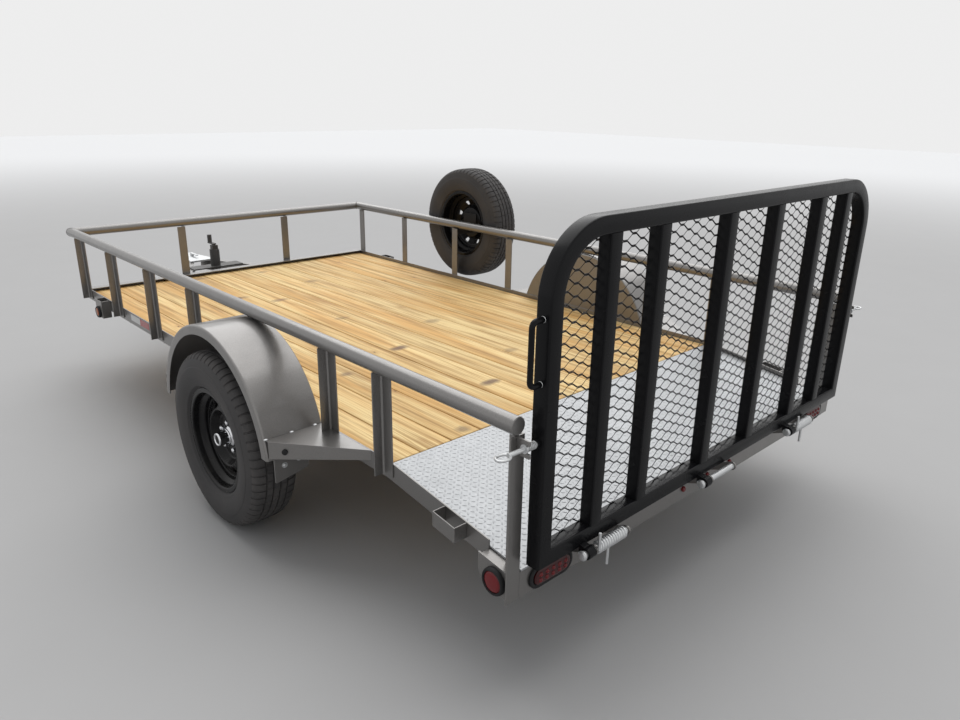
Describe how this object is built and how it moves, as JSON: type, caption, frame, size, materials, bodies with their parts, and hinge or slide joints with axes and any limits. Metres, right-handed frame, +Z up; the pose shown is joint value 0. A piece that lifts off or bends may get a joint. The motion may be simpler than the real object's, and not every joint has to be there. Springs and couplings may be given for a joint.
{
  "type": "utility trailer",
  "caption": "Utility trailer on one axle with a plank deck, pipe top rail, dovetail, fold-down mesh ramp gate, spare wheel and tongue jack.",
  "frame": {"origin": "on the ground at the middle of the length and width", "axes": "+Y forward to the coupler, +X to the trailer's right, +Z up"},
  "size_m": [2.412, 4.5639, 1.321],
  "materials": {
    "frame_paint": "satin",
    "gate_black": "gloss",
    "rim_black": "gloss",
    "jack_paint": "satin",
    "plank_wood": "satin",
    "tread_plate": "satin",
    "zinc": "satin",
    "hub_chrome": "gloss",
    "tyre_rubber": "matte",
    "red_lens": "gloss",
    "amber_lens": "gloss",
    "grommet_rubber": "matte"
  },
  "bodies": {
    "chassis": {"left_side_rail": "frame_paint", "right_side_rail": "frame_paint", "front_rail": "frame_paint", "crossmembers": "frame_paint", "deck_planks": "plank_wood", "dovetail_plate": "tread_plate", "dovetail_ribs": "frame_paint", "rear_light_box": "frame_paint", "left_top_rail": "frame_paint", "right_top_rail": "frame_paint", "front_top_rail": "frame_paint", "left_uprights": "frame_paint", "right_uprights": "frame_paint", "front_uprights": "frame_paint", "left_fender": "frame_paint", "right_fender": "frame_paint", "left_gussets": "frame_paint", "right_gussets": "frame_paint", "left_stake_pockets": "frame_paint", "right_stake_pockets": "frame_paint", "tongue": "frame_paint", "coupler": "zinc", "coupler_latch": "zinc", "jack_housing": "jack_paint", "jack_crank": "zinc", "axle": "gate_black", "leaf_springs": "gate_black", "spring_hangers": "frame_paint", "spare_tyre": "tyre_rubber", "spare_rim": "rim_black", "spare_mount": "frame_paint", "hinge_ears": "frame_paint", "hinge_pins": "zinc", "gate_springs": "zinc", "latch_forks": "frame_paint", "tail_lamps": "red_lens", "amber_markers": "amber_lens", "lamp_grommets": "grommet_rubber"},
    "left_wheel": {"left_tyre": "tyre_rubber", "left_rim": "rim_black", "left_hub": "hub_chrome"},
    "right_wheel": {"right_tyre": "tyre_rubber", "right_rim": "rim_black", "right_hub": "hub_chrome"},
    "gate": {"gate_frame": "gate_black", "gate_bars": "gate_black", "gate_mesh": "gate_black", "gate_handle": "gate_black", "gate_lugs": "gate_black", "latch_pins": "zinc"},
    "jack_leg": {"jack_leg": "zinc"}
  },
  "joints": [
    {"name": "left_wheel_spin", "type": "hinge", "parent": "chassis", "child": "left_wheel", "pos_m": [-1.109, -0.801, 0.344], "axis": [1, 0, 0], "continuous": true},
    {"name": "right_wheel_spin", "type": "hinge", "parent": "chassis", "child": "right_wheel", "pos_m": [1.109, -0.801, 0.344], "axis": [1, 0, 0], "continuous": true},
    {"name": "gate_hinge", "type": "hinge", "parent": "chassis", "child": "gate", "pos_m": [0, -2.262, 0.392], "axis": [1, 0, 0], "range_deg": [0, 112]},
    {"name": "jack_slide", "type": "slide", "parent": "chassis", "child": "jack_leg", "axis": [0, 0, 1], "range_m": [0, 0.17]}
  ]
}
